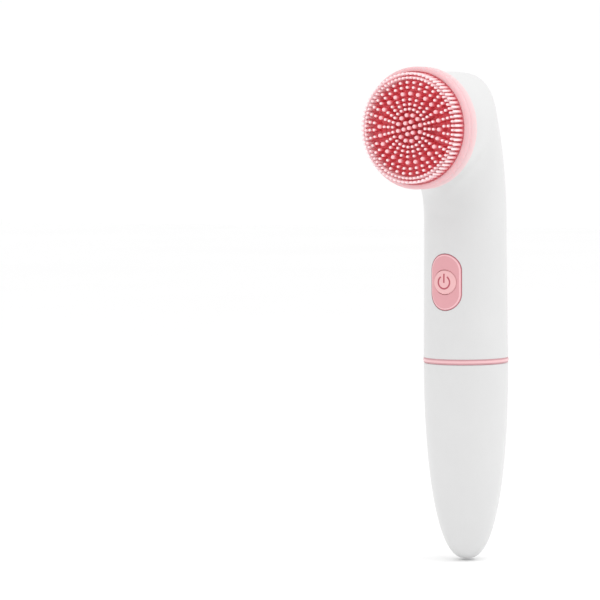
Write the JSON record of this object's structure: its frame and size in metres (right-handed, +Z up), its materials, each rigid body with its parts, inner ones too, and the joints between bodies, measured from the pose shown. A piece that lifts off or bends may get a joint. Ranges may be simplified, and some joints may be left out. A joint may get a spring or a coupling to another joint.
{
  "type": "facial cleansing brush",
  "caption": "Upright battery facial cleansing brush with a spinning round silicone head on a bent neck, a push button and a pull-off tapered lower handle.",
  "frame": {"origin": "lower tip of the tapered handle, on the handle's axis", "axes": "+Z up the handle towards the neck, the brush head faces -Y, +X to the left of the brush head seen from behind it"},
  "size_m": [0.0474, 0.0617, 0.1962],
  "materials": {
    "white_shell": "satin white moulded plastic",
    "white_inner": "plain white moulding",
    "pink_trim": "satin pink",
    "pink_button": "satin light pink",
    "pink_silicone": "soft matt silicone",
    "coral_bristle": "soft silicone",
    "steel": "plain",
    "brass": "plain",
    "bronze": "sintered",
    "acetal": "plain",
    "rubber": "matt",
    "board_green": "solder mask",
    "chip_black": "plain",
    "cell_wrap": "printed sleeve",
    "lead_red": "insulation",
    "lead_black": "insulation",
    "armature": "enamelled windings"
  },
  "bodies": {
    "handle": {"upper_casing": "white_shell", "split_ring": "pink_trim", "button_bezel": "pink_trim", "switch_body": "chip_black", "circuit_board": "board_green", "control_chip": "chip_black", "capacitor": "steel", "battery_tray": "white_inner", "seal_ring": "rubber", "battery_left": "cell_wrap", "battery_right": "cell_wrap", "contact_left": "brass", "contact_right": "brass", "bridge_contact": "brass", "spring_left": "steel", "spring_right": "steel", "chassis": "white_inner", "tray_screw_1": "steel", "tray_screw_2": "steel", "tray_screw_3": "steel", "motor_can": "steel", "motor_end_cap": "chip_black", "motor_terminal_left": "brass", "motor_terminal_right": "brass", "gear_bracket": "white_inner", "rear_bush": "bronze", "head_front_cover": "white_inner", "cover_screw_1": "steel", "cover_screw_2": "steel", "cover_screw_3": "steel", "spindle_bush": "bronze", "shaft_seal": "rubber", "battery_lead_red": "lead_red", "battery_lead_black": "lead_black", "motor_lead_red": "lead_red", "motor_lead_black": "lead_black"},
    "lower_cap": {"lower_cap": "white_shell"},
    "button": {"power_button": "pink_button", "switch_plunger": "chip_black"},
    "spindle": {"drive_spindle": "steel", "crown_gear": "acetal", "retaining_clip": "steel"},
    "motor_rotor": {"motor_shaft": "steel", "armature": "armature", "drive_pinion": "brass"},
    "brush_head": {"head_carrier": "white_inner", "silicone_pad": "pink_silicone", "bristle_field": "coral_bristle"}
  },
  "joints": [
    {"name": "button_press", "type": "slide", "parent": "handle", "child": "button", "axis": [0, 1, 0], "range_m": [0, 0.0008], "stiffness_N_per_m": 1500},
    {"name": "cap_pull_off", "type": "slide", "parent": "lower_cap", "child": "handle", "axis": [0, 0, 1], "range_m": [0, 0.055]},
    {"name": "spindle_spin", "type": "hinge", "parent": "handle", "child": "spindle", "pos_m": [0, 0, 0.1724], "axis": [0, -1, 0], "continuous": true},
    {"name": "motor_spin", "type": "hinge", "parent": "handle", "child": "motor_rotor", "pos_m": [0, 0, 0.14], "axis": [0, 0, 1], "continuous": true},
    {"name": "brush_head_pull_off", "type": "slide", "parent": "spindle", "child": "brush_head", "axis": [0, -1, 0], "range_m": [0, 0.012]}
  ],
  "couplings": [
    {"joint": "spindle_spin", "follows": "motor_spin", "ratio": 0.2}
  ]
}
